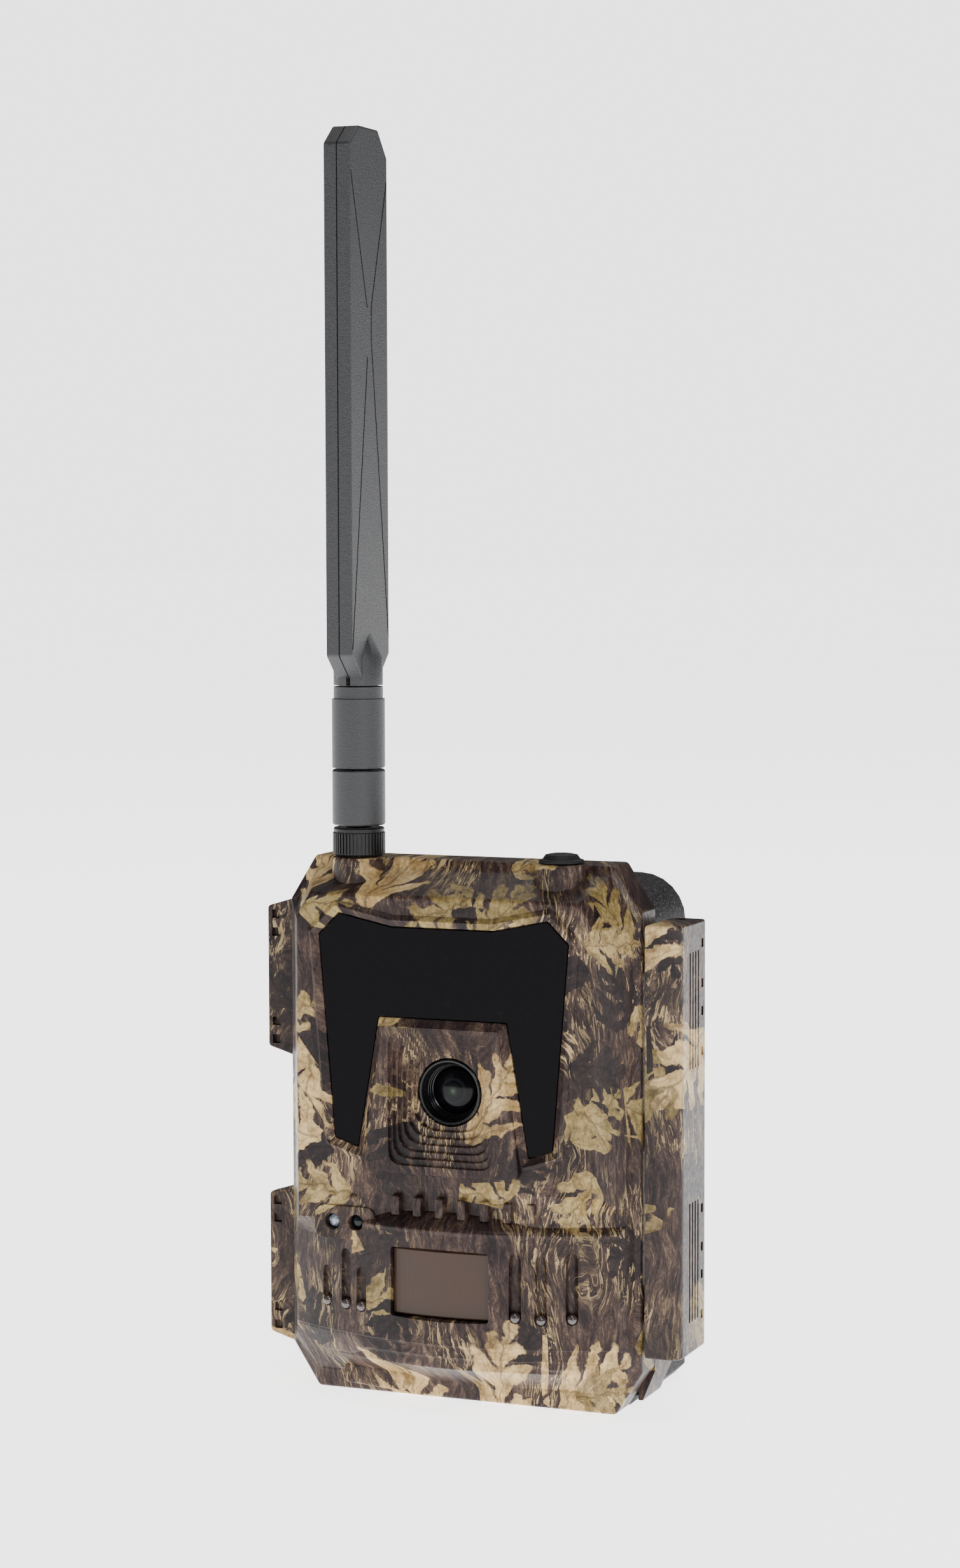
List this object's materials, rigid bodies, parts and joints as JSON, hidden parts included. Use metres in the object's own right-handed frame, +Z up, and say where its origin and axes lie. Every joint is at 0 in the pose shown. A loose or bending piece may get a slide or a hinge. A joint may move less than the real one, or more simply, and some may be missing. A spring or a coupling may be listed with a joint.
{
  "type": "trail camera",
  "caption": "Clamshell trail camera with a camouflage front, side latch, battery bay, keypad and a folding swivel antenna.",
  "frame": {"origin": "on the flat underside of the rear case, on the centre line of the width", "axes": "+Z up along the height, -Y the front that carries the lens, +X the latch side seen from the front"},
  "size_m": [0.1212, 0.0799, 0.3432],
  "materials": {
    "camo_shell": "bark and leaf camouflage film, satin",
    "speckled_case": "grey, fine speckled texture",
    "black_plastic": "black, satin",
    "infrared_window": "near black infrared filter, gloss",
    "pir_lens": "brown translucent sensor window, satin",
    "lens_glass": "coated glass",
    "clear_window": "small clear window",
    "antenna_plastic": "charcoal, fine textured",
    "rubber": "black rubber",
    "steel": "plain steel",
    "brass": "turned brass",
    "circuit_board": "green solder mask",
    "screen": "dark glossy screen",
    "keys": "grey rubber keys",
    "cell_wrap": "printed wrap on a metal can"
  },
  "bodies": {
    "case": {"rear_case": "speckled_case", "case_seal": "rubber", "tripod_insert": "brass", "power_jack": "black_plastic", "strap_bracket": "speckled_case", "bracket_screw_1": "steel", "bracket_screw_2": "steel", "hinge_rail": "camo_shell", "latch_rail": "camo_shell", "hinge_pin_upper": "steel", "hinge_pin_lower": "steel", "latch_pin": "steel", "battery_tray": "black_plastic", "cell_1": "cell_wrap", "cell_2": "cell_wrap", "cell_3": "cell_wrap", "cell_4": "cell_wrap", "cell_5": "cell_wrap", "cell_6": "cell_wrap", "cell_7": "cell_wrap", "cell_8": "cell_wrap", "contact_spring_1": "steel", "contact_spring_2": "steel", "contact_spring_3": "steel", "contact_spring_4": "steel", "contact_spring_5": "steel", "contact_spring_6": "steel", "contact_spring_7": "steel", "contact_spring_8": "steel"},
    "door": {"front_cover": "camo_shell", "infrared_window": "infrared_window", "pir_window": "pir_lens", "status_window": "clear_window", "light_sensor_window": "screen", "pir_sensor": "steel", "lens_barrel": "black_plastic", "lens_glass": "lens_glass", "image_sensor": "black_plastic", "infrared_led_board": "circuit_board", "main_board": "circuit_board", "inner_panel": "black_plastic", "screen": "screen", "memory_card": "black_plastic", "antenna_connector": "brass"},
    "latch": {"latch_cover": "camo_shell"},
    "nut": {"antenna_nut": "antenna_plastic"},
    "antenna_foot": {"antenna_base": "antenna_plastic", "fold_pin": "steel"},
    "antenna_blade": {"antenna_yoke": "antenna_plastic", "paddle_left_shell": "antenna_plastic", "paddle_right_shell": "antenna_plastic", "antenna_board": "circuit_board"},
    "plug": {"port_plug": "rubber"},
    "switch": {"power_switch": "keys"},
    "button_ok": {"key_ok": "keys"},
    "button_up": {"key_up": "keys"},
    "button_down": {"key_down": "keys"},
    "button_left": {"key_left": "keys"},
    "button_right": {"key_right": "keys"},
    "button_menu": {"key_menu": "keys"}
  },
  "joints": [
    {"name": "door_hinge", "type": "hinge", "parent": "case", "child": "door", "pos_m": [-0.0559, -0.01985, 0.074], "axis": [0, 0, -1], "range_deg": [0, 110]},
    {"name": "latch_hinge", "type": "hinge", "parent": "case", "child": "latch", "pos_m": [0.056, -0.0135, 0.0745], "axis": [0, 0, 1], "range_deg": [0, 95]},
    {"name": "nut_spin", "type": "hinge", "parent": "door", "child": "nut", "pos_m": [-0.0293, -0.033, 0.1524], "axis": [0, 0, 1], "continuous": true},
    {"name": "antenna_swivel", "type": "hinge", "parent": "door", "child": "antenna_foot", "pos_m": [-0.0293, -0.033, 0.164], "axis": [0, 0, 1], "continuous": true},
    {"name": "antenna_fold", "type": "hinge", "parent": "antenna_foot", "child": "antenna_blade", "pos_m": [-0.0293, -0.033, 0.18], "axis": [-1, 0, 0], "range_deg": [0, 90]},
    {"name": "plug_pull", "type": "slide", "parent": "door", "child": "plug", "axis": [0, 0, 1], "range_m": [0, 0.014]},
    {"name": "switch_slide", "type": "slide", "parent": "door", "child": "switch", "axis": [1, 0, 0], "range_m": [0, 0.0066]},
    {"name": "press_ok", "type": "slide", "parent": "door", "child": "button_ok", "axis": [0, -1, 0], "range_m": [0, 0.0008], "stiffness_N_per_m": 800, "springref_m": -0.0003},
    {"name": "press_up", "type": "slide", "parent": "door", "child": "button_up", "axis": [0, -1, 0], "range_m": [0, 0.0008], "stiffness_N_per_m": 800, "springref_m": -0.0003},
    {"name": "press_down", "type": "slide", "parent": "door", "child": "button_down", "axis": [0, -1, 0], "range_m": [0, 0.0008], "stiffness_N_per_m": 800, "springref_m": -0.0003},
    {"name": "press_left", "type": "slide", "parent": "door", "child": "button_left", "axis": [0, -1, 0], "range_m": [0, 0.0008], "stiffness_N_per_m": 800, "springref_m": -0.0003},
    {"name": "press_right", "type": "slide", "parent": "door", "child": "button_right", "axis": [0, -1, 0], "range_m": [0, 0.0008], "stiffness_N_per_m": 800, "springref_m": -0.0003},
    {"name": "press_menu", "type": "slide", "parent": "door", "child": "button_menu", "axis": [0, -1, 0], "range_m": [0, 0.0008], "stiffness_N_per_m": 800, "springref_m": -0.0003}
  ]
}
